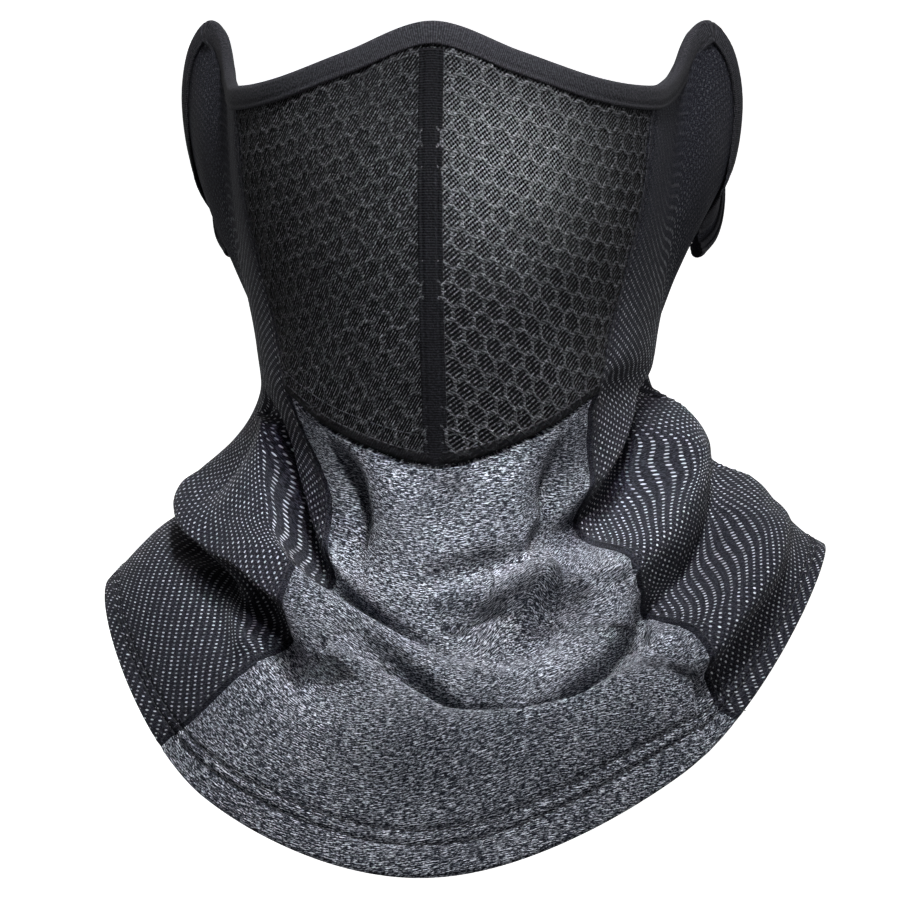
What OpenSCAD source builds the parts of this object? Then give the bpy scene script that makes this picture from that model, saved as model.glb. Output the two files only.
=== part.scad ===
// Half balaclava: a knitted neck tube that rises over the nose, with loops for the ears.
// Millimetres. The wearer faces -Y and +Z is up; +X is the wearer's left.
// The origin is the middle of the neck opening, level with the narrowest part of the neck.

/* [Cloth] */
// Thickness of the fleece-backed neck and side panels
fleece_t = 1.8; // [1.2:0.1:2.2]
// Thickness of the spacer mesh over the nose and mouth
mesh_t = 1.6; // [1.2:0.1:2]
// Thickness of the lining behind the mesh
lining_t = 0.9; // [0.5:0.1:1.2]

// Thickness of the turned-up cloth inside the hem
turn_up_t = 1.2; // [0.8:0.1:1.8]

/* [Edges and seams] */
// Depth of the folded elastic binding along the cloth's edge
binding_depth = 6.6; // [5:0.2:7]
// Thickness of one layer of the binding
binding_t = 1; // [0.6:0.1:1.2]
// Width of the tape over the seam down the nose
tape_w = 8.4; // [6:0.2:10]
// Diameter of the seam threads
thread_d = 0.8; // [0.6:0.1:1]
// Distance between the two rows of a twin-needle seam
twin_gap = 3; // [2:0.2:5]

/* [Ear loops] */
// Width of the strip behind the ear
loop_w = 11; // [8:0.5:13]
// Thickness of the strip behind the ear
loop_t = 1.6; // [1.2:0.1:2]
// How far the binding reaches in from each edge of that strip
loop_fold = 3.6; // [2:0.2:4.6]

/* [Neck drape] */
// How much higher the hem lies on the wearer's left shoulder than on the right
hem_sway = 12; // [0:1:16]
// How much further the hem reaches over the wearer's left shoulder
hem_reach = 6; // [0:1:8]

/* [Hidden] */

ink = [0.07, 0.07, 0.08];
charcoal = [0.16, 0.16, 0.18];
heather = [0.42, 0.43, 0.47];
seam_gap = 0.15;   // from a panel's edge to the middle of its seam, in degrees of bearing
ply_gap = 0.2;     // between two layers of cloth that lie on each other
fold_gap = 0.7;    // inside the turned-up hem, where the cloth springs open
nose_peak = 119;   // height of the top edge at the nose

// Stations run from the top edge (0) past the chin (4) to the hem (10).
chin = 4;
stitched_hem = 9;
hem = 10;

// The top edge from the nose to the middle of the back: bearing, then where it is.
// The bearing is measured round the neck from the front.
top_edge = [
    [0, [0, -107, nose_peak]], [16, [29, -101.5, 109]], [33, [54, -85, 100]],
    [51, [70.5, -57, 97]], [66, [75.5, -34, 99.5]], [76, [78, -16, 105]],
    [84, [81.5, -2, 116]], [89, [87, 8, 119.5]], [93, [93.5, 16, 110]],
    [97, [96, 22, 92]], [101, [92.5, 24, 70]], [105, [83, 22.5, 55]], [109, [77, 22.5, 47]],
    [113, [73.5, 25.5, 42]], [118, [69, 31, 39.5]], [125, [62, 39, 38]], [150, [35, 59, 36]],
    [180, [0, 68, 36]],
];

// The head under the mask: height, then half width, reach to the front, reach to the back.
head_form = [
    [-60, [72, 80, 70]], [-30, [70, 90, 66]], [10, [68.5, 105, 66]], [40, [74.5, 113, 70]],
    [70, [79, 116, 80]], [97, [80.5, 112, 88]], [125, [82, 106, 92]],
];

// Height of the line under the chin, where the mask ends: bearing, height.
chin_line = [[0, -30], [20, -21], [40, -6], [65, 6], [90, 10], [135, 12], [180, 12]];

// How far the cloth's upright lines lean forward under the ear, in degrees of bearing, so that
// they leave the front of the ear hole instead of running along it.
ear_lean = [
    [0, 0], [55, 0], [75, -7], [90, -15], [97, -17], [105, -15], [112, -10], [120, -4],
    [130, 0], [180, 0],
];

// The neck below the chin, one ring for each station: bearing, then radius and height.
neck_rings = [
    [[0, [84, -58]], [45, [72, -30]], [90, [68, -5]], [135, [66, 0]], [180, [64, 2]]],
    [[0, [87, -86]], [45, [80, -58]], [90, [78, -24]], [135, [74, -18]], [180, [71, -16]]],
    [[0, [92, -104]], [45, [92, -80]], [90, [95, -42]], [135, [86, -38]], [180, [80, -36]]],
    [[0, [97, -124]], [45, [104, -100]], [90, [110, -55]], [135, [97, -56]], [180, [90, -58]]],
    [[0, [102.5, -153]], [45, [112, -125]], [90, [119, -63]], [135, [105, -76]], [180, [99, -84]]],
    [[0, [106, -168]], [45, [116, -138]], [90, [124, -67]], [135, [109, -88]], [180, [104, -98]]],
];

// Seams as bearing against station.
mask_seam = [[0, 51], [2, 46], [chin, 39]];
front_seam = [[chin, 39], [5, 37], [6, 38], [7, 43], [8, 48], [stitched_hem, 53], [hem, 56]];

// Middle line of the strip behind the left ear, from the tip of the flap to the jaw.
loop_line = [
    [86, 17, 113], [87.5, 28, 115.5], [88.5, 40, 110.5], [87.5, 50, 95],
    [86, 52.5, 77], [86.5, 46.5, 61], [85, 39, 51.5], [81.5, 32, 46.5], [80, 28, 45.5],
];

// Columns of a side panel as shares of its width: close together round the ear flap.
side_columns = [
    0, 0.05, 0.1, 0.15, 0.2, 0.235, 0.265, 0.29, 0.31, 0.33, 0.35, 0.37, 0.39, 0.41,
    0.43, 0.455, 0.485, 0.525, 0.57, 0.62, 0.67, 0.725, 0.78, 0.835, 0.89, 0.945, 1,
];

// ---------- interpolation ----------

// Cubic through p1 and p2 with tangents from their neighbours, whose spacing may vary.
function hermite(p1, p2, m1, m2, h, f) =
    (2*f^3 - 3*f^2 + 1)*p1 + (f^3 - 2*f^2 + f)*h*m1 + (3*f^2 - 2*f^3)*p2 + (f^3 - f^2)*h*m2;
function slope(table, i) = (table[i + 1][1] - table[i - 1][1]) / (table[i + 1][0] - table[i - 1][0]);
function row_below(table, x, i = 1) =
    i >= len(table) - 3 || x < table[i + 1][0] ? i : row_below(table, x, i + 1);
// The value at x of a table of [key, value] rows, which has a spare row at each end.
function read(table, x) =
    let (i = row_below(table, x), h = table[i + 1][0] - table[i][0])
    hermite(table[i][1], table[i + 1][1], slope(table, i), slope(table, i + 1), h,
        (x - table[i][0]) / h);
// Spare rows: mirrored past the front and the back, or straight on past the two ends.
function round_table(table, flip) =
    let (n = len(table))
    concat([[-table[1][0], flip(table[1][1])]], table, [[360 - table[n - 2][0], flip(table[n - 2][1])]]);
function open_table(table) =
    let (n = len(table), a = table[0], b = table[1], y = table[n - 2], z = table[n - 1])
    concat([2*a - b], table, [2*z - y]);

same = function (v) v;
across = function (p) [-p.x, p.y, p.z];
top_table = round_table(top_edge, across);
chin_table = round_table(chin_line, same);
ring_tables = [for (ring = neck_rings) round_table(ring, same)];
form_table = open_table(head_form);
lean_table = open_table(ear_lean);
mask_seam_table = open_table(mask_seam);
front_seam_table = open_table(front_seam);

// ---------- the shell ----------

function sgn(u) = u < 0 ? -1 : 1;
// Bearings past the back count on from there, so they are brought round first.
function turned(u) = u > 180 ? u - 360 : u < -180 ? u + 360 : u;
function on_form(u, z) =
    let (s = read(form_table, z), deep = abs(u) < 90 ? s[1] : s[2],
        r = 1 / sqrt((sin(u)/s[0])^2 + (cos(u)/deep)^2))
    [r*sin(u), -r*cos(u), z];
function top_point(u) =
    let (p = read(top_table, abs(u)))
    [sgn(u)*p.x, p.y, p.z];
// The head: follows the form, drawn out to the top edge as it nears it.
function head_point(u, share) =
    let (top = top_point(u), z = top.z + share*(read(chin_table, abs(u)) - top.z),
        lean = 4*share*(1 - share) * sgn(u)*read(lean_table, abs(u)))
    on_form(u + lean, z) + (1 - share)^2 * (top - on_form(u, top.z));
function neck_point(u, ring) =
    let (v = read(ring_tables[ring], abs(u)), low = (ring + 1) / len(neck_rings),
        r = v[0] + hem_reach/2*sin(u)*low, z = v[1] + hem_sway/2*sin(u)*low)
    [r*sin(u), -r*cos(u), z];
function control(u, i) =
    i < 0 ? 2*control(u, 0) - control(u, 1) :
    i > hem ? 2*control(u, hem) - control(u, hem - 1) :
    i <= chin ? head_point(turned(u), i/chin) : neck_point(turned(u), i - chin - 1);
function shell(u, t) =
    let (i = min(floor(t), hem - 1), p0 = control(u, i - 1), p1 = control(u, i),
        p2 = control(u, i + 1), p3 = control(u, i + 2))
    hermite(p1, p2, (p2 - p0)/2, (p3 - p1)/2, 1, t - i);
function unit(v) = v / norm(v);
// Straight out of the cloth.
function outward(u, t) =
    let (a = max(t - 0.1, 0), b = min(t + 0.1, hem))
    unit(cross(shell(u, b) - shell(u, a), shell(u + 0.5, t) - shell(u - 0.5, t)));
function lifted(u, t, d) = shell(u, t) + d*outward(u, t);

function mask_edge(t) = read(mask_seam_table, t);
function front_edge(t) = read(front_seam_table, t);
function side_edge(t) = t < chin ? mask_edge(t) : front_edge(t);

// ---------- solids ----------

// A closed solid between two grids of points, both with the same rows and columns.
module slab(outer, inner) {
    rows = len(outer);
    cols = len(outer[0]);
    n = rows*cols;
    function at(i, j) = i*cols + j;
    flat_outer = [for (row = outer, p = row) p];
    flat_inner = [for (row = inner, p = row) p];
    skin = [for (i = [0:rows - 2], j = [0:cols - 2])
        each let (a = at(i, j), b = at(i, j + 1), c = at(i + 1, j + 1), d = at(i + 1, j))
            [[a, c, b], [a, d, c], [a + n, b + n, c + n], [a + n, c + n, d + n]]];
    rim = concat(
        [for (j = [0:cols - 1]) at(0, j)], [for (i = [1:rows - 1]) at(i, cols - 1)],
        [for (j = [cols - 2:-1:0]) at(rows - 1, j)], [for (i = [rows - 2:-1:1]) at(i, 0)]);
    m = len(rim);
    side = [for (k = [0:m - 1])
        each let (a = rim[k], b = rim[(k + 1) % m]) [[a, b, b + n], [a, b + n, a + n]]];
    polyhedron(concat(flat_outer, flat_inner), concat(skin, side), convexity = 10);
}

// A piece of cloth between two stations and two edges given as bearing at a station.
module cloth(from, to, rows, columns, near_edge, far_edge, lift, thick) {
    grid = [for (i = [0:rows]) let (t = from + (to - from)*i/rows)
        [for (c = columns) [near_edge(t) + (far_edge(t) - near_edge(t))*c, t]]];
    slab([for (row = grid) [for (q = row) lifted(q[0], q[1], lift)]],
        [for (row = grid) [for (q = row) lifted(q[0], q[1], lift - thick)]]);
}

// A solid swept along a path. Each ring of points is one section; closed joins the ends.
module sweep(sections, closed = false) {
    rings = len(sections);
    sides = len(sections[0]);
    links = closed ? rings : rings - 1;
    walls = [for (i = [0:links - 1], j = [0:sides - 1])
        each let (a = i*sides + j, b = i*sides + (j + 1) % sides, k = (i + 1) % rings,
            c = k*sides + (j + 1) % sides, d = k*sides + j) [[a, b, c], [a, c, d]]];
    caps = closed ? [] : [[for (j = [sides - 1:-1:0]) j], [for (j = [0:sides - 1]) (rings - 1)*sides + j]];
    polyhedron([for (s = sections, p = s) p], concat(walls, caps), convexity = 10);
}

// Folded binding over a cloth edge: a hook-shaped section whose slot holds the cloth.
// q is [point on the edge, into the cloth, out of the cloth].
function hook(q, thick, depth) =
    let (p = q[0], d = q[1], n = q[2], low = -thick - ply_gap, back = low - binding_t,
        fold = ply_gap + binding_t)
    [p + depth*d + ply_gap*n, p + depth*d + fold*n, p + fold*n - 0.4*fold*d,
        p - fold*d + 0.3*fold*n, p - fold*d + (low - 0.3*binding_t)*n, p + back*n - 0.4*fold*d,
        p + depth*d + back*n, p + depth*d + low*n, p + low*n - ply_gap*d, p + ply_gap*n - ply_gap*d];

function reversed(list) = [for (k = [len(list) - 1:-1:0]) list[k]];
function top_station(u) =
    let (along = unit(shell(u + 0.4, 0) - shell(u - 0.4, 0)), n = outward(u, 0))
    [shell(u, 0), unit(cross(along, n)), n];
module binding_run(from, to, steps) {
    sweep([for (i = [0:steps])
        reversed(hook(top_station(from + (to - from)*i/steps), fleece_t, binding_depth))]);
}

// A round thread laid along the shell, half sunk in it.
module thread(path, closed = false) {
    n = len(path);
    sweep([for (i = [0:n - 1])
        let (q = path[i], p = lifted(q[0], q[1], 0.1),
            a = path[closed ? (i + n - 1) % n : max(i - 1, 0)],
            b = path[closed ? (i + 1) % n : min(i + 1, n - 1)],
            along = unit(shell(b[0], b[1]) - shell(a[0], a[1])),
            up = outward(q[0], q[1]), over = cross(along, up))
        [for (k = [0:5]) p + thread_d/2*(cos(60*k)*over + sin(60*k)*up)]], closed);
}
// Bearing that an arc of the given length takes up at a station.
function arc(u, t, length) =
    let (p = shell(u, t)) length / norm([p.x, p.y]) * 180/PI;
function span(n) = [for (i = [0:n]) i/n];

// ---------- the pieces ----------

module mirrored(side) {
    mirror([side < 0 ? 1 : 0, 0, 0]) children();
}

module mesh_panel(side) {
    color(ink) cloth(0, chin - 0.02, 10, span(9), function (t) side*seam_gap,
        function (t) side*(mask_edge(t) - seam_gap), 0, mesh_t);
}
module mask_lining(side) {
    color(charcoal) cloth(0.32, chin - 0.1, 8, span(7), function (t) side*seam_gap,
        function (t) side*(mask_edge(t) - 3*seam_gap), -mesh_t - ply_gap, lining_t);
}
module nose_seam_tape() {
    color(ink) cloth(0.22, chin - 0.02, 10, span(2), function (t) -arc(0, t, tape_w/2),
        function (t) arc(0, t, tape_w/2), 0.8 + ply_gap, 0.8);
}
module front_neck_panel() {
    color(heather) cloth(chin + 0.02, hem, 12, span(16), function (t) seam_gap - front_edge(t),
        function (t) front_edge(t) - seam_gap, 0, fleece_t);
}
module side_panel(side) {
    color(charcoal) cloth(0, hem, 20, side_columns, function (t) side*(side_edge(t) + seam_gap),
        function (t) side*(180 - seam_gap), 0, fleece_t);
}

module face_binding() { color(charcoal) binding_run(-88.6, 88.6, 60); }
module ear_rim_binding(side) { color(charcoal) binding_run(side*89.4, side*111.6, 20); }
module nape_binding() { color(charcoal) binding_run(112.4, 247.6, 36); }

// The strip behind the ear: a flat ribbon through loop_line, with its face to the side.
loop_table = open_table([for (i = [0:len(loop_line) - 1]) [i, loop_line[i]]]);
loop_end = len(loop_line) - 1;
function loop_frame(w) =
    let (along = unit(read(loop_table, w + 0.1) - read(loop_table, w - 0.1)), out = [1, -0.1, 0.1],
        face = unit(out - (out*along)*along))
    [read(loop_table, w), face, cross(along, face)];
loop_frames = [for (i = [0:24]) loop_frame(loop_end*i/24)];
module ear_loop(side) {
    mirrored(side) color(charcoal) sweep([for (f = loop_frames)
        let (n = loop_t/2*f[1], w = loop_w/2*f[2]) [f[0] + n + w, f[0] + n - w, f[0] - n - w, f[0] - n + w]]);
}
module loop_hem(edge) {
    sections = [for (f = loop_frames)
        hook([f[0] + edge*loop_w/2*f[2] + loop_t/2*f[1], -edge*f[2], f[1]], loop_t, loop_fold)];
    sweep(edge > 0 ? sections : [for (s = sections) reversed(s)]);
}
module ear_loop_binding(side) {
    mirrored(side) color(charcoal) {
        loop_hem(1);
        loop_hem(-1);
    }
}

module chin_seam_thread() {
    color(ink) for (t = [chin - 0.14, chin - 0.3])
        thread([for (i = [0:24]) [-mask_edge(t) + 2*mask_edge(t)*i/24, t]]);
}
module mask_seam_thread(side) {
    color(ink) for (shift = [-1.2, 1.2])
        thread([for (i = [0:14]) let (t = 0.3 + (chin - 0.35)*i/14)
            [side*(mask_edge(t) + arc(mask_edge(t), t, shift)), t]]);
}
module front_seam_thread(side) {
    color(ink) for (shift = [0.8, 0.8 + twin_gap])
        thread([for (i = [0:24]) let (t = chin + 0.1 + (hem - chin - 0.15)*i/24)
            [side*(front_edge(t) + arc(front_edge(t), t, shift)), t]]);
}
module back_seam_thread() {
    color(ink) for (shift = [-1, 1])
        thread([for (i = [0:18]) let (t = 1.2 + (hem - 1.3)*i/18) [180 + arc(180, t, shift*1.4), t]]);
}
// The edge turned up inside the tube and held by the hem thread.
module hem_turn_up() {
    color(charcoal) cloth(stitched_hem - 0.5, hem - 0.02, 3, span(72), function (t) -180 + seam_gap,
        function (t) 180 - seam_gap, -fleece_t - fold_gap, turn_up_t);
}
module hem_thread() {
    color(ink) for (row = [0, 1])
        thread([for (i = [0:59]) [6*i - 180, stitched_hem - 0.3*row]], true);
}
mesh_panel(1);  // mesh_panel_left
mesh_panel(-1);  // mesh_panel_right
mask_lining(1);  // mask_lining_left
mask_lining(-1);  // mask_lining_right
nose_seam_tape();
front_neck_panel();
side_panel(1);  // side_panel_left
side_panel(-1);  // side_panel_right
face_binding();
ear_rim_binding(1);  // ear_rim_binding_left
ear_rim_binding(-1);  // ear_rim_binding_right
nape_binding();
ear_loop(1);  // ear_loop_left
ear_loop(-1);  // ear_loop_right
ear_loop_binding(1);  // ear_loop_binding_left
ear_loop_binding(-1);  // ear_loop_binding_right
chin_seam_thread();
mask_seam_thread(1);  // mask_seam_thread_left
mask_seam_thread(-1);  // mask_seam_thread_right
front_seam_thread(1);  // front_seam_thread_left
front_seam_thread(-1);  // front_seam_thread_right
back_seam_thread();
hem_turn_up();
hem_thread();
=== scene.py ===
"""The half balaclava as it looks: cloth panels with their folds, honeycomb mesh, bindings, seams and ear loops.

Lengths are in millimetres, in the frame of the CAD model, until a mesh is made; MM turns them into metres.
A place on the cloth is (u, t): u is the bearing round the neck from the front, in degrees, and t counts
stations from the top edge (0) past the chin (4) to the hem (10).
"""

import math

import bmesh
import bpy
import numpy as np
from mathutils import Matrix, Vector


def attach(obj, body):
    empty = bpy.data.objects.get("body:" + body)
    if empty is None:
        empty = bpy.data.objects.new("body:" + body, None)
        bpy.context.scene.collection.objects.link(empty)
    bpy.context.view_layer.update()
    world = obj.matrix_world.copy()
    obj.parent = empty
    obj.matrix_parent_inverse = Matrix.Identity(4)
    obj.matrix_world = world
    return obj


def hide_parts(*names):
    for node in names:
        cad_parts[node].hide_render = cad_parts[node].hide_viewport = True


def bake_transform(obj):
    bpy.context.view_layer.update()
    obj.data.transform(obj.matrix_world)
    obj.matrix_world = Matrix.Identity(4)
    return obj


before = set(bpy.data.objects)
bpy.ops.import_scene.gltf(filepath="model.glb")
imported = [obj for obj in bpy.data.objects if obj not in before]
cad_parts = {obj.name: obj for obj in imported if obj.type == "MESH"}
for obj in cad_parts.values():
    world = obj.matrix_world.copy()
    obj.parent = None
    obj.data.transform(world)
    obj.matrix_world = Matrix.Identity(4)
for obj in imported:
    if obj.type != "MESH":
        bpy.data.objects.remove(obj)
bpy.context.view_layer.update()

MM = 0.001
CHIN, HEM = 4, 10
HEM_ROWS = (9.0, 9.23)
FLEECE_T, MESH_T, LINING_T, BINDING_T = 1.8, 1.6, 0.9, 1.1
BINDING_DEPTH = 6.8
HEM_SWAY, HEM_REACH = 12, 6
LOOP_W, LOOP_T = 12.5, 2.2
TAPE_HALF = 4.2
STITCH_PITCH, STITCH_LENGTH, STITCH_WIDTH = 2.6, 2.0, 0.5
FROM_SEAM_FADE = (2.0, 4.2)     # the dots start between these distances from the front seam
TURN = 2 * math.pi

# The tables of the shell are those of the CAD model.
# Top edge: bearing, then x, y, z.
TOP_EDGE = [
    (0, (0, -107, 119)), (16, (29, -101.5, 109)), (33, (54, -85, 100)), (51, (70.5, -57, 97)),
    (66, (75.5, -34, 99.5)), (76, (78, -16, 105)), (84, (81.5, -2, 116)), (89, (87, 8, 119.5)),
    (93, (93.5, 16, 110)), (97, (96, 22, 92)), (101, (92.5, 24, 70)), (105, (83, 22.5, 55)),
    (109, (77, 22.5, 47)), (113, (73.5, 25.5, 42)), (118, (69, 31, 39.5)), (125, (62, 39, 38)),
    (150, (35, 59, 36)), (180, (0, 68, 36)),
]
# The head under the mask: height, then half width, reach to the front, reach to the back.
HEAD_FORM = [
    (-60, (72, 80, 70)), (-30, (70, 90, 66)), (10, (68.5, 105, 66)), (40, (74.5, 113, 70)),
    (70, (79, 116, 80)), (97, (80.5, 112, 88)), (125, (82, 106, 92)),
]
# Bearing, then the height of the chin line under the mask.
CHIN_LINE = [(0, (-30,)), (20, (-21,)), (40, (-6,)), (65, (6,)), (90, (10,)), (135, (12,)), (180, (12,))]
# Bearing, then how far the cloth leans round the head at half height, in degrees.
EAR_LEAN = [
    (0, (0,)), (55, (0,)), (75, (-7,)), (90, (-15,)), (97, (-17,)), (105, (-15,)), (112, (-10,)),
    (120, (-4,)), (130, (0,)), (180, (0,)),
]
# Six rings below the chin line: bearing, then radius and height.
NECK_RINGS = [
    [(0, (84, -58)), (45, (72, -30)), (90, (68, -5)), (135, (66, 0)), (180, (64, 2))],
    [(0, (87, -86)), (45, (80, -58)), (90, (78, -24)), (135, (74, -18)), (180, (71, -16))],
    [(0, (92, -104)), (45, (92, -80)), (90, (95, -42)), (135, (86, -38)), (180, (80, -36))],
    [(0, (97, -124)), (45, (104, -100)), (90, (110, -55)), (135, (97, -56)), (180, (90, -58))],
    [(0, (102.5, -153)), (45, (112, -125)), (90, (119, -63)), (135, (105, -76)), (180, (99, -84))],
    [(0, (106, -168)), (45, (116, -138)), (90, (124, -67)), (135, (109, -88)), (180, (104, -98))],
]
# Seams: station, then bearing.
MASK_SEAM = [(0, (51,)), (2, (46,)), (4, (39,))]
FRONT_SEAM = [(4, (39,)), (5, (37,)), (6, (38,)), (7, (43,)), (8, (48,)), (9, (53,)), (10, (56,))]
# Middle line of the strip behind the left ear, from the tip of the flap to the jaw. It follows the CAD model,
# but its first three points are a little lower.
LOOP_LINE = [
    (86, 17, 111), (87.5, 28, 112.5), (88.5, 40, 108), (87.5, 50, 95), (86, 52.5, 77),
    (86.5, 46.5, 61), (85, 39, 51.5), (81.5, 32, 46.5), (80, 28, 45.5),
]


# ---------- the shell ----------

def spline(rows, before, after):
    """Keys and values of a table with a spare row before and after it, for read()."""
    rows = [before, *rows, after]
    return np.array([r[0] for r in rows], float), np.array([r[1] for r in rows], float)


def round_table(rows, flip=1):
    """A table over bearing, mirrored past the front and the back. flip is each value's sign when mirrored."""
    flip = np.array(flip)
    return spline(rows, (-rows[1][0], flip * rows[1][1]), (360 - rows[-2][0], flip * rows[-2][1]))


def open_table(rows):
    """A table that runs straight on past its two ends."""
    def past(a, b):
        return 2 * a[0] - b[0], 2 * np.array(a[1]) - np.array(b[1])
    return spline(rows, past(rows[0], rows[1]), past(rows[-1], rows[-2]))


def read(table, x):
    """Cubic interpolation of a table at every x."""
    keys, values = table
    x = np.asarray(x, float)
    i = np.clip(np.searchsorted(keys, x, side="right") - 1, 1, len(keys) - 3)
    h = keys[i + 1] - keys[i]
    f = ((x - keys[i]) / h)[..., None]
    h = h[..., None]
    m1 = (values[i + 1] - values[i - 1]) / (keys[i + 1] - keys[i - 1])[..., None]
    m2 = (values[i + 2] - values[i]) / (keys[i + 2] - keys[i])[..., None]
    return hermite(values[i], values[i + 1], h * m1, h * m2, f)


def hermite(p1, p2, m1, m2, f):
    return ((2*f**3 - 3*f**2 + 1) * p1 + (f**3 - 2*f**2 + f) * m1
            + (3*f**2 - 2*f**3) * p2 + (f**3 - f**2) * m2)


def unit(v):
    return v / np.maximum(np.linalg.norm(v, axis=-1, keepdims=True), 1e-9)


def hand(side):
    """left or right, the wearer's, for side 1 or -1."""
    return "left" if side > 0 else "right"


TOP = round_table(TOP_EDGE, (-1, 1, 1))
FORM = open_table(HEAD_FORM)
CHIN_TABLE = round_table(CHIN_LINE)
LEAN = open_table(EAR_LEAN)
RINGS = [round_table(ring) for ring in NECK_RINGS]
MASK_TABLE, FRONT_TABLE = open_table(MASK_SEAM), open_table(FRONT_SEAM)


def turned(u):
    return (np.asarray(u, float) + 180) % 360 - 180


def on_form(u, z):
    form = read(FORM, z)
    a = np.radians(u)
    deep = np.where(np.abs(turned(u)) < 90, form[..., 1], form[..., 2])
    r = 1 / np.sqrt((np.sin(a) / form[..., 0])**2 + (np.cos(a) / deep)**2)
    return np.stack([r * np.sin(a), -r * np.cos(a), z], -1)


def top_point(u):
    p = read(TOP, np.abs(u))
    return p * np.stack([np.where(u < 0, -1, 1), np.ones_like(u), np.ones_like(u)], -1)


def head_point(u, share):
    top = top_point(u)
    z = top[..., 2] + share * (read(CHIN_TABLE, np.abs(u))[..., 0] - top[..., 2])
    lean = 4 * share * (1 - share) * np.where(u < 0, -1, 1) * read(LEAN, np.abs(u))[..., 0]
    return on_form(u + lean, z) + ((1 - share)**2)[..., None] * (top - on_form(u, top[..., 2]))


def neck_point(u, ring):
    r_z = np.zeros(u.shape + (2,))
    for k, table in enumerate(RINGS):
        here = ring == k
        r_z[here] = read(table, np.abs(u[here]))
    low = (ring + 1) / len(RINGS)
    a = np.radians(u)
    r = r_z[..., 0] + HEM_REACH / 2 * np.sin(a) * low
    z = r_z[..., 1] + HEM_SWAY / 2 * np.sin(a) * low
    return np.stack([r * np.sin(a), -r * np.cos(a), z], -1)


def control(u, i):
    """The shell's control points at whole stations, one past each end included."""
    u = turned(u)
    inside = np.clip(i, 0, HEM)
    point = np.where((inside <= CHIN)[..., None], head_point(u, np.clip(inside, 0, CHIN) / CHIN),
                     neck_point(u, np.clip(inside - CHIN - 1, 0, len(RINGS) - 1)))
    for end, past, near in ((0, -1, 1), (HEM, HEM + 1, HEM - 1)):
        here = i == past
        if here.any():
            where = u[here]
            full = np.full(where.shape, near)
            point[here] = 2 * point[here] - control(where, full)
    return point


def shell(u, t):
    u, t = np.broadcast_arrays(np.asarray(u, float), np.asarray(t, float))
    i = np.minimum(np.floor(t).astype(int), HEM - 1)
    p0, p1, p2, p3 = (control(u, i + k) for k in (-1, 0, 1, 2))
    return hermite(p1, p2, (p2 - p0) / 2, (p3 - p1) / 2, (t - i)[..., None])


def slopes(surface, u, t):
    """How a surface changes down the cloth and round it."""
    a, b = np.maximum(t - 0.06, 0), np.minimum(t + 0.06, HEM)
    return surface(u, b) - surface(u, a), surface(u + 0.4, t) - surface(u - 0.4, t)


def outward(surface, u, t):
    down, round_ = slopes(surface, u, t)
    return unit(np.cross(down, round_))


# ---------- folds ----------

# Each fold is a crest across the cloth: bearing, height of its visible edge, how far it stands out. HANG folds
# hang over the cloth below them; RISE folds stand up in front of the cloth above them. Then come how far the
# fold spreads above and below its crest, and how deep the tuck beside its sharp side is. The wearer's right is
# negative.
HANG, RISE = 1, -1
FOLDS = [
    (RISE, [(-66, -14, 3), (-58, -17, 7), (-54, -25, 11), (-48, -34, 12), (-42, -43, 13), (-32, -57, 13),
            (-24, -68, 12), (-18, -75, 11), (-11, -82, 9), (-6, -87, 7), (0, -93, 5), (6, -96, 2)], 3.5, 15, 9),
    (HANG, [(-96, -38, 4), (-84, -43, 7), (-76, -48, 10), (-70, -53, 12), (-62, -58, 13), (-54, -66, 13),
            (-46, -74, 13), (-40, -81, 12), (-34, -88, 9), (-30, -96, 6), (-23, -104, 2)], 13, 4, 9),
    (RISE, [(-22, -95, 4), (-10, -99, 9), (-2, -104, 12), (4, -107, 13), (16, -106, 13), (21, -105, 12),
            (28, -102, 11), (36, -94, 9), (42, -86, 4)], 3.5, 17, 10),
    (HANG, [(-86, -38, 2), (-69, -50, 4), (-59, -63, 5), (-51, -77, 5), (-44, -92, 3)], 3.5, 4, 3),
    (HANG, [(-42, -84, -3), (-38, -89, -5), (-32, -102, -6), (-24, -115, -5), (-18, -125, -2)], 8, 8, 0),
    (HANG, [(98, -14, 5), (84, -21, 9), (78, -26, 13), (72, -34, 15), (66, -42, 16), (56, -53, 16),
            (44, -63, 14), (37, -67, 10), (30, -67, 5)], 15, 4, 15),
    (HANG, [(96, -38, 4), (84, -45, 7), (78, -50, 10), (70, -61, 12), (62, -73, 12), (54, -84, 11),
            (48, -95, 9), (42, -101, 6), (38, -106, 3)], 9, 4, 9),
    (HANG, [(88, -50, 1), (78, -55, 3), (69, -67, 5), (61, -79, 6), (54, -93, 5), (49, -102, 2)], 4, 3.5, 5),
    (HANG, [(70, -48, -2), (64, -57, -5), (54, -68, -7), (46, -80, -7), (41, -84, -3)], 4, 4, 0),
    (HANG, [(40, -74, 5), (38, -80, 9), (36, -86, 10), (33, -92, 9), (29, -97, 7), (23, -104, 3)], 14, 4, 7),
    (RISE, [(27, -54, 3), (24, -61, 8), (20, -69, 9), (14, -76, 8), (8, -81, 3)], 3.5, 11, 6),
    (HANG, [(34, -8, -3), (50, -7, -6), (66, -6, -4), (80, -4, -1)], 6, 6, 0),
    (HANG, [(-14, -84, -2), (-4, -86, -6), (8, -90, -8), (20, -90, -8), (28, -86, -6), (33, -80, -2)], 8, 7, 0),
    (HANG, [(84, -34, -3), (74, -42, -6), (64, -51, -7), (54, -62, -7), (44, -72, -6), (36, -76, -2)], 4, 6, 0),
    (HANG, [(-4, -72, -2), (1, -71, -6), (7, -68, -7), (14, -67, -5), (19, -68, -2)], 5, 3.5, 0),
    (HANG, [(1, -97, -1), (4, -95, -4), (9, -91, -6), (14, -90, -6), (20, -93, -3)], 4, 4, 0),
    (HANG, [(130, -30, 4), (150, -34, 7), (180, -36, 7), (210, -34, 7), (230, -30, 4)], 14, 6, 5),
]
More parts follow.
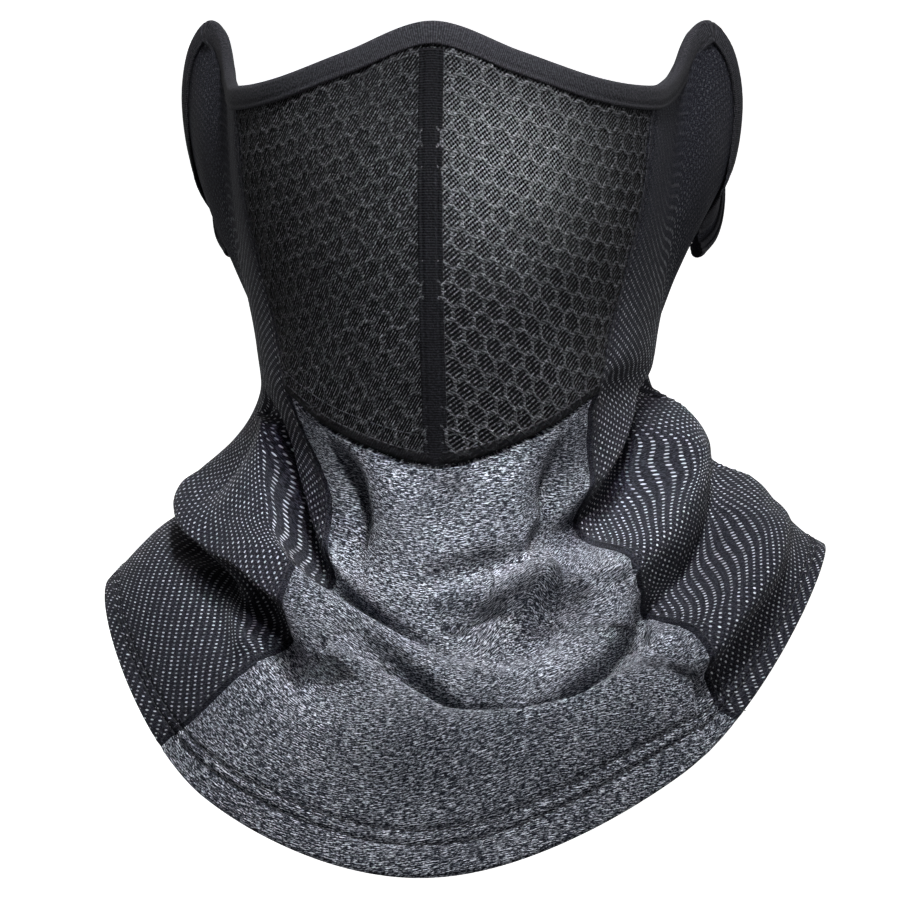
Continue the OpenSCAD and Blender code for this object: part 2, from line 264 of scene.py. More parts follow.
# Soft rises and hollows: bearing, height, reach round the neck, reach up and down, how far out.
SWELLS = [
    (-23, -46, 7, 20, -10), (31, -44, 7, 16, -9), (-9, -46, 9, 20, 4), (15, -46, 9, 18, 5),
    (3, -44, 5, 14, -3),
    (-10, -124, 20, 12, 3.5), (38, -112, 16, 12, 3.5), (12, -128, 10, 16, -2),
]
DROOP = 0.95        # how far a fold slides along the cloth for every millimetre that it stands out
MOST = 17           # the furthest that folds on top of each other move the cloth
ROUND_MM = 1.45     # millimetres round the neck to a degree, where distances to a fold are taken
STEP_U, STEP_T = 0.5, 0.02
GRID_U, GRID_T = np.arange(-190, 190.1, STEP_U), np.arange(0, HEM + STEP_T / 2, STEP_T)


def crest_distance(a, z, line):
    """How far each point is from a crest, below it counted positive, and how far out the crest stands there."""
    best = np.full(a.shape, np.inf)
    signed, out = np.zeros(a.shape), np.zeros(a.shape)
    for (a0, z0, h0), (a1, z1, h1) in zip(line[:-1], line[1:]):
        da, dz = a1 - a0, z1 - z0
        along = np.clip(((a - a0) * da + (z - z0) * dz) / (da * da + dz * dz), 0, 1)
        va, vz = a - (a0 + along * da), z - (z0 + along * dz)
        far = np.hypot(va, vz)
        nearer = far < best
        best = np.where(nearer, far, best)
        signed = np.where(nearer, far * np.where(da * vz - dz * va > 0, -1, 1), signed)
        out = np.where(nearer, h0 + along * (h1 - h0), out)
    return signed, out


def smooth_step(x, low, high):
    f = np.clip((x - low) / (high - low), 0, 1)
    return f * f * (3 - 2 * f)


def drape():
    """The whole cloth with its folds, on a fine grid: each point moves out of the shell and slides down it."""
    u, t = np.meshgrid(GRID_U, GRID_T)
    flat = shell(u, t)
    down, round_ = np.gradient(flat, axis=(0, 1))
    out, down = unit(np.cross(down, round_)), unit(down)
    z = flat[..., 2]
    height, slide = np.zeros(u.shape), np.zeros(u.shape)
    for hang, points, above, below, tuck in FOLDS:
        crest = []
        for u0, edge, rise in points:
            column = int(round((turned(u0) - GRID_U[0]) / STEP_U))
            row = np.argmin(np.abs(z[:, column] - edge))
            sink = rise * out[row, column, 2] + hang * DROOP * max(rise, 0) * down[row, column, 2]
            crest.append((len(crest), (u0 * ROUND_MM, edge - sink + hang * min(above, below) / 2, rise)))
        line = read(open_table(crest), np.linspace(0, len(points) - 1, 6 * len(points)))
        low, high = line[:, 1].min() - 3 * below - 6, line[:, 1].max() + 3 * above + 6
        left, right = line[:, 0].min() - 3 * above, line[:, 0].max() + 3 * above
        for turn in (0, -360):
            a = (u - turn) * ROUND_MM
            near = (z > low) & (z < high) & (a > left) & (a < right)
            if near.any():
                d, rise = crest_distance(a[near], z[near], line)
                fold = rise * np.exp(-(d / np.where(d < 0, above, below))**2)
                sharp = min(above, below)
                beside_lip = np.exp(-((d * hang - 2 * sharp) / (1.1 * sharp))**2)
                height[near] += fold - tuck * np.abs(rise) / 9 * beside_lip
                slide[near] += hang * DROOP * np.maximum(fold, 0)
    for u0, z0, reach_a, reach_z, rise in SWELLS:
        height += rise * np.exp(-((u - u0) * ROUND_MM / reach_a)**2 - ((z - z0) / reach_z)**2)
    off_mask = np.maximum(smooth_step(t, 4, 4.4), smooth_step(np.abs(u) - mask_edge(np.minimum(t, 4)), 1, 9))
    fade = off_mask * smooth_step(10.2 - t, 0, 0.9)
    height, slide = (fade * MOST * np.tanh(v / MOST) for v in (height, slide))
    return flat + height[..., None] * out + slide[..., None] * down


def mask_edge(t):
    return read(MASK_TABLE, t)[..., 0]


CLOTH = drape()


def draped(u, t):
    """The cloth's outer face with its folds, between the points of its grid."""
    u, t = np.broadcast_arrays(np.asarray(u, float), np.asarray(t, float))
    x = np.clip((turned(u) - GRID_U[0]) / STEP_U, 0, len(GRID_U) - 1.001)
    y = np.clip(t / STEP_T, 0, len(GRID_T) - 1.001)
    i, j = x.astype(int), y.astype(int)
    fx, fy = (x - i)[..., None], (y - j)[..., None]
    return ((CLOTH[j, i] * (1 - fx) + CLOTH[j, i + 1] * fx) * (1 - fy)
            + (CLOTH[j + 1, i] * (1 - fx) + CLOTH[j + 1, i + 1] * fx) * fy)


def twist(t):
    """How far the cloth is turned round the neck between the chin and the hem, in degrees."""
    return 6.5 * smooth_step(t, 4, 5.2) * smooth_step(9.4 - t, 0, 2.4)


def front_edge(side, t):
    return side * read(FRONT_TABLE, t)[..., 0] + twist(t)


def side_edge(side, t):
    return np.where(t < CHIN, side * mask_edge(t), front_edge(side, t))


# ---------- meshes ----------

def new_object(name, points, faces, material):
    """A mesh object from points in millimetres."""
    mesh = bpy.data.meshes.new(name)
    mesh.from_pydata((np.asarray(points) * MM).tolist(), [], faces)
    mesh.materials.append(material)
    mesh.polygons.foreach_set("use_smooth", [True] * len(mesh.polygons))
    obj = bpy.data.objects.new(name, mesh)
    bpy.context.scene.collection.objects.link(obj)
    return obj


def grid_faces(rows, cols, flip=False, closed=False):
    """Quads of a grid of points, facing out where u grows with the column."""
    i, j = np.meshgrid(np.arange(rows - 1), np.arange(cols if closed else cols - 1), indexing="ij")
    a, b = i * cols + j, i * cols + (j + 1) % cols
    quads = np.stack([a, a + cols, b + cols, b], -1).reshape(-1, 4)
    return (quads[:, ::-1] if flip else quads).tolist()


def even(values, axis, times=1200):
    """Values evened out along one axis of a grid."""
    values = np.swapaxes(values, 0, axis)
    for _ in range(times):
        values = np.concatenate([values[:1], (values[:-2] + 2 * values[1:-1] + values[2:]) / 4, values[-1:]])
    return np.swapaxes(values, 0, axis)


def arc_uv(points, row, column):
    """Millimetres along the cloth, across from one column and up from one row, evened out over the folds."""
    over = np.linalg.norm(np.diff(points, axis=1), axis=-1)
    over = even(np.concatenate([np.zeros((len(points), 1)), np.cumsum(over, 1)], 1), 0)
    down = np.linalg.norm(np.diff(points, axis=0), axis=-1)
    down = even(np.concatenate([np.zeros((1, points.shape[1])), np.cumsum(down, 0)], 0), 1)
    return np.stack([over - over[:, column:column + 1], down[row:row + 1] - down], -1)


def set_uv(obj, uv):
    """Gives a mesh one coordinate for each point, in millimetres of cloth."""
    mesh = obj.data
    corner = np.zeros(len(mesh.loops), int)
    mesh.loops.foreach_get("vertex_index", corner)
    layer = mesh.uv_layers.new(name="cloth")
    layer.data.foreach_set("uv", uv.reshape(-1, 2)[corner].astype(np.float32).ravel())


def set_attribute(obj, name, values):
    made = obj.data.attributes.new(name, "FLOAT", "POINT")
    made.data.foreach_set("value", np.asarray(values, np.float32).ravel())


def thicken(obj, thickness):
    solid = obj.modifiers.new("thickness", "SOLIDIFY")
    solid.thickness = thickness * MM
    solid.offset = -1
    solid.use_even_offset = False
    return obj


def cloth(name, span, rows, cols, near, far, material, surface=draped, thickness=FLEECE_T, lift=0,
          anchor=(0.0, 0.0), extra=None):
    """A panel between two stations and two edges, with its thickness. extra(u, t, uv) gives a further lift."""
    t = np.linspace(*span, rows)[:, None]
    share = np.linspace(0, 1, cols)[None, :]
    u = near(t) + (far(t) - near(t)) * share
    t = np.broadcast_to(t, u.shape)
    points = surface(u, t)
    uv = arc_uv(points, int(anchor[0] * (rows - 1)), int(anchor[1] * (cols - 1)))
    raised = lift + (extra(u, t, uv) if extra else 0)
    points = points + outward(surface, u, t) * np.broadcast_to(raised, u.shape)[..., None]
    obj = new_object(name, points.reshape(-1, 3), grid_faces(rows, cols, flip=u[0, -1] < u[0, 0]), material)
    set_uv(obj, uv)
    set_attribute(obj, "station", t)
    set_attribute(obj, "from_seam", np.linalg.norm(points - points[:, :1], axis=-1))
    return thicken(obj, thickness) if thickness else obj


def sweep(name, stations, profile, material):
    """A strip along stations (point, first direction, second direction), its profile in those directions."""
    rings = np.array([[p + a * x + b * y for x, y in profile] for p, a, b in stations])
    rows, cols = rings.shape[:2]
    points = rings.reshape(-1, 3)
    faces = grid_faces(rows, cols, closed=True)
    faces += [list(range(cols)), [(rows - 1) * cols + j for j in reversed(range(cols))]]
    obj = new_object(name, points, faces, material)
    along = np.concatenate([[0], np.cumsum(np.linalg.norm(np.diff(rings[:, 0], axis=0), axis=-1))])
    edge = np.array(profile)
    round_ = np.concatenate([[0], np.cumsum(np.linalg.norm(np.diff(edge, axis=0), axis=-1))])
    set_uv(obj, np.stack(np.broadcast_arrays(along[:, None], round_[None, :]), -1))
    return obj


def face_out(obj):
    """Turns a closed mesh's faces to point out."""
    bm = bmesh.new()
    bm.from_mesh(obj.data)
    bmesh.ops.recalc_face_normals(bm, faces=bm.faces)
    bm.to_mesh(obj.data)
    bm.free()
    return obj


def stitches(name, paths, surface=draped, lift=0.12):
    """Rows of separate stitches, each a small capsule that lies along its path of (u, t)."""
    ring, sides = 6, 6
    theta = np.linspace(0, 2 * math.pi, sides, endpoint=False)
    body = np.linspace(-1, 1, ring)
    swell = np.sqrt(np.clip(1 - np.abs(body)**3, 0.04, 1))
    shape = np.array([(x * STITCH_LENGTH, w * STITCH_WIDTH * math.cos(a), w * STITCH_WIDTH * math.sin(a))
                      for x, w in zip(body, swell) for a in theta]) / 2
    points, faces = [], []
    tile = grid_faces(ring, sides, closed=True)
    tile += [list(range(sides))[::-1], [(ring - 1) * sides + k for k in range(sides)]]
    for path in paths:
        u, t = np.array(path).T
        fine = np.linspace(0, len(u) - 1, 24 * len(u))
        u, t = np.interp(fine, np.arange(len(u)), u), np.interp(fine, np.arange(len(t)), t)
        run = surface(u, t)
        far = np.concatenate([[0], np.cumsum(np.linalg.norm(np.diff(run, axis=0), axis=-1))])
        at = np.arange(STITCH_PITCH / 2, far[-1], STITCH_PITCH)
        u, t = np.interp(at, far, u), np.interp(at, far, t)
        up = outward(surface, u, t)
        middle = surface(u, t) + lift * up
        ahead = np.stack([np.interp(at + 0.4, far, run[:, k]) - np.interp(at - 0.4, far, run[:, k])
                          for k in range(3)], -1)
        ahead = unit(ahead)
        over = unit(np.cross(up, ahead))
        for p, x, y, z in zip(middle, ahead, over, up):
            faces += [[k + len(points) for k in f] for f in tile]
            points += (p + shape[:, :1] * x + shape[:, 1:2] * y + shape[:, 2:] * z).tolist()
    return new_object(name, points, faces, THREAD)


# ---------- materials ----------

class Value:
    """A number inside a material, with the usual arithmetic."""

    def __init__(self, paint, socket):
        self.paint, self.socket = paint, socket

    def math(self, kind, other=None):
        inputs = (self,) if other is None else (self, other)
        return Value(self.paint, self.paint.node("ShaderNodeMath", *inputs, operation=kind).outputs[0])

    def __add__(self, other):
        return self.math("ADD", other)

    def __sub__(self, other):
        return self.math("SUBTRACT", other)

    def __mul__(self, other):
        return self.math("MULTIPLY", other)

    def floor(self):
        return self.math("FLOOR")

    def size(self):
        return self.math("ABSOLUTE")

    def larger(self, other):
        return self.math("MAXIMUM", other)

    def sine(self):
        return self.math("SINE")

    def root(self):
        return self.math("SQRT")

    def step(self, low, high):
        """0 below low, 1 above high, and smooth between."""
        made = self.paint.node("ShaderNodeMapRange", self, low, high, interpolation_type="SMOOTHSTEP")
        return Value(self.paint, made.outputs[0])


class Paint:
    """A cloth material. x runs round the cloth and y up it, in millimetres."""

    def __init__(self, name, **constants):
        self.material = bpy.data.materials.new(name)
        self.material.use_nodes = True
        self.tree = self.material.node_tree
        self.shader = self.tree.nodes["Principled BSDF"]
        for key, value in constants.items():
            self.shader.inputs[key.replace("_", " ")].default_value = value
        cloth_uv = self.node("ShaderNodeUVMap", uv_map="cloth")
        parts = self.node("ShaderNodeSeparateXYZ", cloth_uv.outputs[0])
        self.x, self.y = Value(self, parts.outputs[0]), Value(self, parts.outputs[1])

    def put(self, socket, value):
        if isinstance(value, Value):
            value = value.socket
        if isinstance(value, bpy.types.NodeSocket):
            self.tree.links.new(value, socket)
        else:
            socket.default_value = value

    def node(self, kind, *inputs, **settings):
        made = self.tree.nodes.new(kind)
        for key, value in settings.items():
            setattr(made, key, value)
        for socket, value in zip(made.inputs, inputs):
            self.put(socket, value)
        return made

    def noise(self, x_scale, y_scale, detail=2, rough=0.5, shift=0):
        at = self.node("ShaderNodeCombineXYZ", self.x * x_scale + shift, self.y * y_scale + shift)
        made = self.node("ShaderNodeTexNoise", noise_dimensions="2D")
        for key, value in (("Vector", at.outputs[0]), ("Scale", 1), ("Detail", detail), ("Roughness", rough)):
            self.put(made.inputs[key], value)
        return Value(self, made.outputs[0])

    def chance(self, x, y):
        """A random number for each whole x and y."""
        at = self.node("ShaderNodeCombineXYZ", x, y)
        made = self.node("ShaderNodeTexWhiteNoise", at.outputs[0], noise_dimensions="2D")
        return Value(self, made.outputs["Value"])

    def attribute(self, name):
        return Value(self, self.node("ShaderNodeAttribute", attribute_name=name).outputs["Fac"])

    def mix(self, factor, a, b):
        made = self.node("ShaderNodeMix", data_type="RGBA")
        for k, value in ((0, factor), (6, a), (7, b)):
            self.put(made.inputs[k], value if isinstance(value, (Value, bpy.types.NodeSocket)) else (*value, 1))
        return made.outputs[2]

    def done(self, colour, roughness, height, depth):
        """Sets colour and roughness, and a bump of that height times depth, in millimetres."""
        bump = self.node("ShaderNodeBump")
        self.put(bump.inputs["Height"], height)
        bump.inputs["Distance"].default_value = depth * MM
        self.put(self.shader.inputs["Base Color"], colour)
        self.put(self.shader.inputs["Roughness"], roughness)
        self.put(self.shader.inputs["Normal"], bump.outputs[0])
        return self.material


FABRIC = {"Specular_IOR_Level": 0.03, "Sheen_Weight": 0.008, "Sheen_Roughness": 0.4}


def heather():
    """Dark jersey with short pale dashes along its courses."""
    p = Paint("heather_jersey", **FABRIC)
    dash = p.noise(0.32, 2.2, 3, 0.62)
    fleck = p.noise(0.9, 2.9, 2, 0.6, 40)
    cloudy = p.noise(0.05, 0.06, 2, 0.5, 9)
    pale = (dash * 0.55 + fleck * 0.45 + cloudy * 0.06).step(0.51, 0.70)
    grey = (fleck * 0.6 + dash * 0.4).step(0.36, 0.60)
    colour = p.mix(pale, p.mix(grey, (0.0035, 0.004, 0.007), (0.032, 0.035, 0.046)), (0.46, 0.48, 0.54))
    course = (p.y * (TURN / 0.75)).sine() * 0.3
    return p.done(colour, p.noise(0.4, 0.4) * 0.2 + 0.72, course + dash + fleck, 0.22)


def dotted():
    """Smooth dark jersey with a staggered lattice of small pale dots, dimmed towards the ears as painted shade.
    """
    p = Paint("dotted_jersey", **FABRIC)
    pitch = 2.2 * math.sqrt(2)
    a, b = (p.x + p.y) * (1 / pitch), (p.x - p.y) * (1 / pitch)
    ca, cb = a.floor(), b.floor()
    luck = p.chance(ca, cb)
    da, db = a - ca - 0.5, b - cb - 0.5
    far = (da * da + db * db).root()
    # Painted shade: the dots dim from station 4.2 up to station 1.5, on the ear flaps.
    here = p.attribute("station").step(1.5, 4.2)
    dot = (far * -1 + luck * 0.04).step(-0.19, -0.12) * (luck * 0.6 + 0.3)
    dot = dot * (here * 0.92 + 0.08) * p.attribute("from_seam").step(*FROM_SEAM_FADE)
    fleck = p.noise(1.1, 2.4, 2, 0.65)
    ground = p.mix(fleck.step(0.42, 0.72), (0.004, 0.0042, 0.0065), (0.034, 0.035, 0.046))
    colour = p.mix(dot, ground, (0.54, 0.56, 0.60))
    knit = (p.x * (TURN / 0.9)).sine() * (p.y * (TURN / 0.9)).sine() * 0.25
    return p.done(colour, p.noise(0.5, 0.5) * 0.2 + 0.6, knit + fleck * 0.8 - dot * 0.7, 0.22)


def off_middle(v):
    """How far v is from the middle of its whole step."""
    return (v - v.floor() - 0.5).size() if isinstance(v, Value) else np.abs(v - np.floor(v) - 0.5)


def larger(a, b):
    return a.larger(b) if isinstance(a, Value) else np.maximum(a, b)


def honeycomb(x, y, wide=7.0, high=6.4):
    """How deep a point lies inside its cell of a honeycomb, from its nearest wall, in millimetres.

    It takes numbers, for the relief, or a material's values, for the walls in the knit.
    """
    stretch = wide * math.sqrt(0.75) / high
    depths = []
    for shift in (0, 0.5):
        over = off_middle(x * (1 / wide) + shift)
        up = off_middle(y * (stretch / wide / math.sqrt(3)) + shift)
        depths.append(larger(over, over * 0.5 + up * 1.5) * -wide + wide / 2)
    return larger(*depths)


def open_knit(side):
    """Black mesh: honeycomb walls of thread, slanting yarns in each cell, and a crossed net high up, drawn
    brighter as a painted highlight.
    """
    p = Paint("mask_mesh_" + hand(side), **FABRIC)
    deep = honeycomb(p.x, p.y)
    wall = (deep * -1).step(-0.85, -0.35) * (1.0 if side > 0 else 0.6)
    ladder = (p.y * (TURN / 1.0)).sine().step(-0.2, 0.7)
    slant = (p.x * 0.77 - p.y * (0.64 * side)) * (TURN / 1.12)
    crossing = (p.x * 0.77 + p.y * (0.64 * side)) * (TURN / 1.12)
    fuzz = p.noise(1.5, 1.5, 2, 0.7)
    yarn = (slant.sine() + (fuzz - 0.5) * 2.4).step(0.15, 1.1)
    net = (slant.sine() * 0.5 + crossing.sine() * 0.5 + (fuzz - 0.5) * 1.6).step(-0.3, 0.6)
    # Painted highlight over the real crossed net: a bright patch high on the panel, strongest on the wearer's
    # left panel.
    net_and_painted_highlight = p.attribute("open")
    # The threads are drawn grey on black. This is partly the knit's pattern and partly the yarn's sheen and
    # glints, painted into the colour.
    painted_glint = p.noise(0.7, 0.7, 3, 0.7, 70).step(0.42, 0.68)
    threads_and_sheen = (yarn * (painted_glint * 0.75 + 0.12)).larger(wall * (ladder * 0.5 + 0.1) * (painted_glint * 0.8 + 0.35))
    threads_and_sheen = threads_and_sheen.larger(net * net * net_and_painted_highlight * (painted_glint * 0.5 + 0.5))
    threads_and_sheen = threads_and_sheen * (p.attribute("rim") * -0.9 + 1)
    colour = p.mix(threads_and_sheen, (0.0012, 0.0012, 0.0016), p.mix(net_and_painted_highlight, (0.12, 0.123, 0.135), (0.27, 0.28, 0.30)))
    return p.done(colour, threads_and_sheen * -0.25 + 0.75, threads_and_sheen + wall * 0.5, 0.35)


def ribbed(name, dark, light, pitch, across=False):
    """A fine plain knit: bindings, tape, lining and thread."""
    p = Paint(name, **FABRIC)
    run = p.y if across else p.x
    rib = (run * (TURN / pitch)).sine() * 0.5 + 0.5
    fuzz = p.noise(1.3, 1.3, 3, 0.65)
    colour = p.mix((fuzz * 0.8 + rib * 0.2).step(0.35, 0.75), dark, light)
    return p.done(colour, fuzz * 0.2 + 0.62, rib * 0.5 + fuzz, 0.16)


HEATHER, DOTTED = heather(), dotted()
MESH = {side: open_knit(side) for side in (1, -1)}
BINDING = ribbed("binding_knit", (0.009, 0.009, 0.011), (0.045, 0.045, 0.052), 0.7)
TAPE = ribbed("seam_tape", (0.001, 0.001, 0.0014), (0.009, 0.009, 0.011), 0.9, True)
LINING = ribbed("lining_knit", (0.004, 0.004, 0.005), (0.022, 0.022, 0.026), 0.8)
THREAD = ribbed("twisted_thread", (0.010, 0.010, 0.012), (0.060, 0.062, 0.070), 0.35)


# ---------- pieces ----------

def settle(obj, node):
    """Fixes a piece to the cover, in the place of its CAD node."""
    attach(obj, "cover")
    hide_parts(node)
    return obj


def seam_dip(u, t, edges, surface=draped, depth=0.9):
    """How far a panel dips into the seams along its edges, with the small puckers that stitches pull."""
    p = surface(u, t)
    dip = np.zeros(u.shape)
    for edge in edges:
        gap = np.linalg.norm(p - surface(np.broadcast_to(edge(t), u.shape), t), axis=-1)
        dip -= depth * np.exp(-(gap / 1.3)**2)
        dip -= 0.35 * np.exp(-((gap - 4.8) / 0.9)**2)
        dip += 0.22 * np.exp(-((gap - 3.5) / 3)**2) * np.sin(t * 27 + 2 * np.sin(t * 9))
    return dip


def hem_roll(t):
    """The lower edge curls in at its end, and the two rows of hem stitches press a groove each."""
    grooves = sum(np.exp(-((t - row) / 0.045)**2) for row in HEM_ROWS)
    return -1.5 * np.clip((t - 9.93) / 0.07, 0, 1)**2 - 1.1 * grooves + 0.35 * smooth_step(t, 9.25, 9.5)


def mesh_panel(side):
    def lift(u, t, uv):
        depth = honeycomb(uv[..., 0], uv[..., 1])
        wall = 1 - np.clip((depth - 0.25) / 0.8, 0, 1)
        rim = np.clip((t - 3.86) / 0.05, 0, 1)
        cell = 0.42 * wall * (1 - rim) + 0.25 * np.sin(uv[..., 0] * 0.21 + uv[..., 1] * 0.13)
        return cell + 0.9 * rim * np.clip((3.99 - t) / 0.04, 0, 1)**0.5
    name = "mesh_panel_" + hand(side)
    low, rows, cols = 3.98, 262, 150
    obj = cloth("visual_" + name, (0, low), rows, cols, lambda t: side * 0.05 + 0 * t,
                lambda t: side * (mask_edge(t) + 0.3), MESH[side], shell, MESH_T, extra=lift)
    t = np.linspace(0, low, rows)[:, None]
    share = np.linspace(0, 1, cols)[None, :]
    # Weight of the crossed net and its painted highlight: a bright patch high up, 0.85 on the wearer's left
    # panel and 0.25 on the right.
    net = np.clip(1.25 - np.hypot((share - 0.3) / 0.5, (t - 1.0) / 1.3), 0, 1) * (0.85 if side > 0 else 0.25)
    set_attribute(obj, "open", net)
    set_attribute(obj, "rim", np.broadcast_to(np.clip((t - 3.84) / 0.05, 0, 1), net.shape))
    return settle(obj, name)


def mask_lining(side):
    name = "mask_lining_" + hand(side)
    obj = cloth("visual_" + name, (0.32, 3.9), 70, 40, lambda t: side * 0.15 + 0 * t,
                lambda t: side * (mask_edge(t) - 0.45), LINING, shell, LINING_T, lift=-MESH_T - 0.25)
    return settle(obj, name)


def side_panel(side):
    def lift(u, t, uv):
        return seam_dip(u, t, (lambda t: side_edge(side, t), lambda t: side * 180 + 0 * t)) + hem_roll(t)
    name = "side_panel_" + hand(side)
    obj = cloth("visual_" + name, (0, HEM), 235, 190, lambda t: side_edge(side, t) - 0.25 * side,
                lambda t: side * 180.2 + 0 * t, DOTTED, extra=lift, anchor=(0.5, 0.25))
    return settle(obj, name)


def front_neck_panel():
    def lift(u, t, uv):
        return seam_dip(u, t, (lambda t: front_edge(1, t), lambda t: front_edge(-1, t))) + hem_roll(t)
    obj = cloth("visual_front_neck_panel", (4.02, HEM), 160, 180, lambda t: front_edge(-1, t) - 0.25,
                lambda t: front_edge(1, t) + 0.25, HEATHER, extra=lift, anchor=(0.3, 0.5))
    return settle(obj, "front_neck_panel")


def nose_seam_tape():
    def half(t):
        return TAPE_HALF / np.linalg.norm(shell(0 * t, t)[..., :2], axis=-1) * 180 / math.pi

    def lift(u, t, uv):
        off_centre = uv[..., 0] / TAPE_HALF
        return 0.3 * (1 - off_centre**4) - 0.25 * np.exp(-((np.abs(off_centre) - 0.62) / 0.12)**2)

    obj = cloth("visual_nose_seam_tape", (0.22, 3.98), 200, 24, lambda t: -half(t), half, TAPE, shell, 0.8,
                lift=0.45, anchor=(0.0, 0.5), extra=lift)
    return settle(obj, "nose_seam_tape")


def edge_station(u):
    """The cloth's top edge: a point on it, the way into the cloth, and the way out of its face."""
    u = np.asarray(float(u))
    along = unit(shell(u + 0.4, 0) - shell(u - 0.4, 0))
    n = outward(shell, u, np.zeros(()))
    return shell(u, 0), unit(np.cross(along, n)), n


def folded_profile(thickness, depth):
    """A binding's section: (into the cloth, out of its face), rounded where it folds over the edge."""
    over, back = BINDING_T + 0.1, -thickness - 0.1
    outer = [(depth, 0.1), (depth + 0.25, 0.5), (depth, over - 0.15), (depth - 0.9, over - 0.1),
             (depth - 1.5, over - 0.32), (depth - 2.1, over - 0.05), (depth * 0.5, over + 0.12), (1, over)]
    middle, radius = (over + back - BINDING_T) / 2, (over - back + BINDING_T) / 2
    bend = [(0.6 - 1.9 * math.sin(a), middle + radius * math.cos(a))
            for a in np.linspace(0.2, math.pi - 0.2, 9)]
    inner = [(1, back - BINDING_T), (depth * 0.5, back - BINDING_T - 0.1), (depth, back - BINDING_T),
             (depth, back), (0.4, back), (0.4, 0.1)]
    return outer + bend + inner


def edge_binding(name, low, high):
    count = max(int(abs(high - low) * 1.6), 30)
    runs = [edge_station(u) for u in np.linspace(low, high, count)]
    obj = face_out(sweep("visual_" + name, runs, folded_profile(FLEECE_T, BINDING_DEPTH), BINDING))
    return settle(obj, name)


def loop_frames(count):
    table = open_table(list(enumerate(LOOP_LINE)))
    w = np.linspace(0, len(LOOP_LINE) - 1, count)
    along = unit(read(table, w + 0.1) - read(table, w - 0.1))
    out = np.array([1, -0.1, 0.1])
    face = unit(out - (along @ out)[:, None] * along)
    return read(table, w), face, np.cross(along, face)


def ear_loop(side):
    """The strip behind the ear and the binding along its two edges."""
    middle, face, over = loop_frames(70)
    for v in (middle, face, over):
        v[:, 0] *= side
    body = "ear_loop_" + hand(side)
    half, edge = LOOP_T / 2, LOOP_W / 2 - 0.6
    strip = [(half * math.cos(a) * (1.15 if abs(math.sin(a)) < 0.5 else 1), edge * math.sin(a))
             for a in np.linspace(0, TURN, 24, endpoint=False)]
    loop = face_out(sweep("visual_" + body, list(zip(middle, face, over)), strip, DOTTED))
    for name in ("station", "from_seam"):
        set_attribute(loop, name, np.zeros(len(loop.data.vertices)))
    hook = folded_profile(LOOP_T * 0.8, 3.8)
    hems = []
    for way in (1, -1):
        rim = middle + over * way * (LOOP_W / 2 - 0.8) + face * half * 0.8
        hems.append(face_out(sweep("hem", list(zip(rim, -way * over, face)), hook, BINDING)))
    bound = "ear_loop_binding_" + hand(side)
    for obj, slot, node in ((loop, "dotted_fleece", body), (joined("visual_" + bound, hems), "binding", bound)):
        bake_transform(obj)
        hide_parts(node)
    return loop


def joined(name, objects):
    """One object from several."""
    bpy.ops.object.select_all(action="DESELECT")
    for obj in objects:
        obj.select_set(True)
    bpy.context.view_layer.objects.active = objects[0]
    bpy.ops.object.join()
    objects[0].name = name
    return objects[0]


def moved_round(u, t, mm, surface=draped):
    """The bearing a few millimetres round the cloth from u."""
    reach = np.linalg.norm(surface(u + 0.5, t) - surface(u - 0.5, t), axis=-1)
    return u + mm / reach


def beside(edge, mm, side, low, high, count=60, surface=draped):
    """A path that keeps a few millimetres to one side of a seam."""
    t = np.linspace(low, high, count)
    u = edge(side, t)
    return list(zip(moved_round(u, t, side * mm, surface), t))


def sewn(node, rows, **how):
    settle(stitches("visual_" + node, rows, **how), node)


def seams():
    share = np.linspace(-0.98, 0.98, 60)
    sewn("chin_seam_thread", [[(s * float(mask_edge(np.array(t))), t) for s in share] for t in (3.86, 3.7)],
         surface=shell, lift=0.45)
    for side in (1, -1):
        sewn("mask_seam_thread_" + hand(side),
             [beside(side_edge, 1.6, side, 0.25, 3.95),
              beside(side_edge, -1.6, side, 0.25, 3.8, surface=shell)],
             lift=0.3)
        sewn("front_seam_thread_" + hand(side),
             [beside(front_edge, mm, side, 4.1, 9.95, 110) for mm in (1.8, 4.8)])
    sewn("back_seam_thread",
         [[(moved_round(180.0, t, mm), t) for t in np.linspace(1.2, 9.9, 90)] for mm in (-1.6, 1.6)])
    sewn("hem_thread", [[(u, t) for u in np.linspace(-180, 180, 300)] for t in HEM_ROWS])


def hem_turn_up():
    obj = cloth("visual_hem_turn_up", (8.5, 9.97), 24, 300, lambda t: -179.85 + 0 * t,
                lambda t: 179.85 + 0 * t, DOTTED, thickness=1.2, lift=-FLEECE_T - 0.7,
                extra=lambda u, t, uv: hem_roll(t))
    return settle(obj, "hem_turn_up")


# ---------- stage, light and camera ----------

def stage():
    """A pale floor, and a backdrop that curves up from it, well below and behind the object."""
    floor = [(-9, -0.6), (5.5, -0.6)]
    wall = [(5.5, -0.6), (9, -0.5), (12, 0), (13, 1.5), (13.3, 4), (13.3, 10)]
    for name, profile, glow in (("studio_floor", floor, 0), ("studio_backdrop", wall, 0.9)):
        x = np.linspace(-13, 13, 9)
        points = [(a / MM, y / MM, z / MM) for y, z in profile for a in x]
        paper = Paint(name + "_paper")
        tone = paper.mix(paper.noise(0.01, 0.01), (0.80, 0.80, 0.80), (0.84, 0.84, 0.84))
        paper.shader.inputs["Emission Color"].default_value = (1, 1, 1, 1)
        paper.shader.inputs["Emission Strength"].default_value = glow
        obj = new_object(name, points, grid_faces(len(profile), len(x)),
                         paper.done(tone, paper.noise(0.02, 0.02) * 0.1 + 0.8, paper.noise(0.5, 0.5), 0.05))


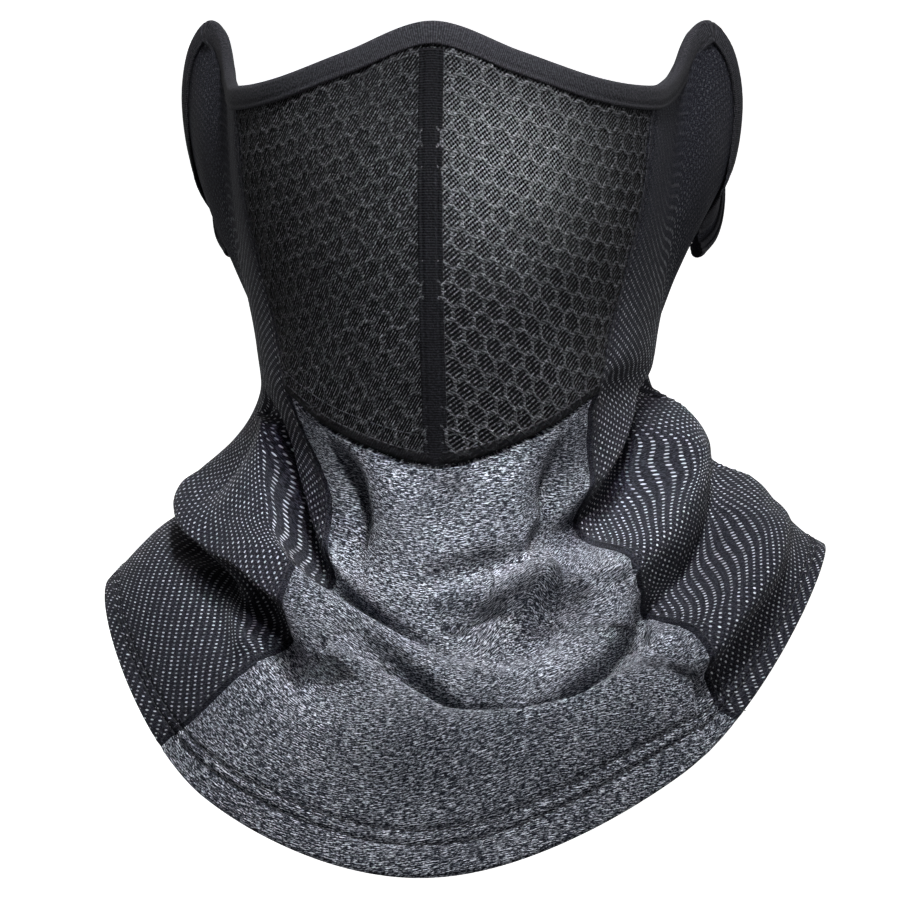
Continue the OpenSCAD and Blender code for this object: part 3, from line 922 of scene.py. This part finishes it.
def lamp(name, spot, target, size, power, spread=180):
    """An area lamp at a spot, aimed at a target. Spread narrows its beam, in degrees."""
    light = bpy.data.lights.new(name, "AREA")
    light.spread = math.radians(spread)
    light.shape, light.size, light.size_y, light.energy = "RECTANGLE", *size, power
    obj = bpy.data.objects.new(name, light)
    obj.location = spot
    obj.rotation_euler = (Vector(target) - Vector(spot)).to_track_quat("-Z", "Y").to_euler()
    bpy.context.scene.collection.objects.link(obj)


def lights():
    world = bpy.data.worlds.new("studio")
    world.use_nodes = True
    world.node_tree.nodes["Background"].inputs[0].default_value = (0.95, 0.97, 1, 1)
    world.node_tree.nodes["Background"].inputs[1].default_value = 0.06
    bpy.context.scene.world = world
    middle = (0, -0.03, -0.02)
    lamp("key", (0.12, -0.62, 1.0), (0.01, -0.08, -0.01), (0.2, 0.2), 1.9, 44)
    lamp("chin", (0.2, -1.3, 0.8), (0.008, -0.09, -0.012), (0.08, 0.08), 0.15, 8)
    lamp("front", (0.7, -1.8, 0.35), middle, (0.3, 0.3), 1.4)
    lamp("side", (-1.1, -1.0, 0.6), middle, (0.3, 0.6), 1)
    lamp("rim_right", (1.3, 0.4, 0.4), middle, (0.3, 1.2), 8)
    lamp("rim_left", (-1.3, 0.4, 0.4), middle, (0.3, 1.2), 4.5)


def camera():
    azimuth, elevation, away = math.radians(4.5), math.radians(1.4), 5.0
    object_front, width_shown = 0.05, 0.306
    eye = bpy.data.objects.new("camera", bpy.data.cameras.new("camera"))
    look = Vector((math.sin(azimuth) * math.cos(elevation), -math.cos(azimuth) * math.cos(elevation),
                   math.sin(elevation)))
    target = Vector((-0.0024, 0, -0.0268))
    eye.location = target + away * look
    eye.rotation_euler = (-look).to_track_quat("-Z", "Y").to_euler()
    eye.data.sensor_width = 36
    eye.data.lens = eye.data.sensor_width * (away - object_front) / width_shown
    bpy.context.scene.collection.objects.link(eye)
    bpy.context.scene.camera = eye


camera()
stage()
lights()
for side in (1, -1):
    mesh_panel(side)
    mask_lining(side)
    side_panel(side)
    ear_loop(side)
front_neck_panel()
nose_seam_tape()
hem_turn_up()
edge_binding("face_binding", -88.6, 88.6)
edge_binding("ear_rim_binding_left", 89.4, 111.6)
edge_binding("ear_rim_binding_right", -89.4, -111.6)
edge_binding("nape_binding", 112.4, 247.6)
seams()

bpy.context.scene.view_settings.view_transform = "Standard"
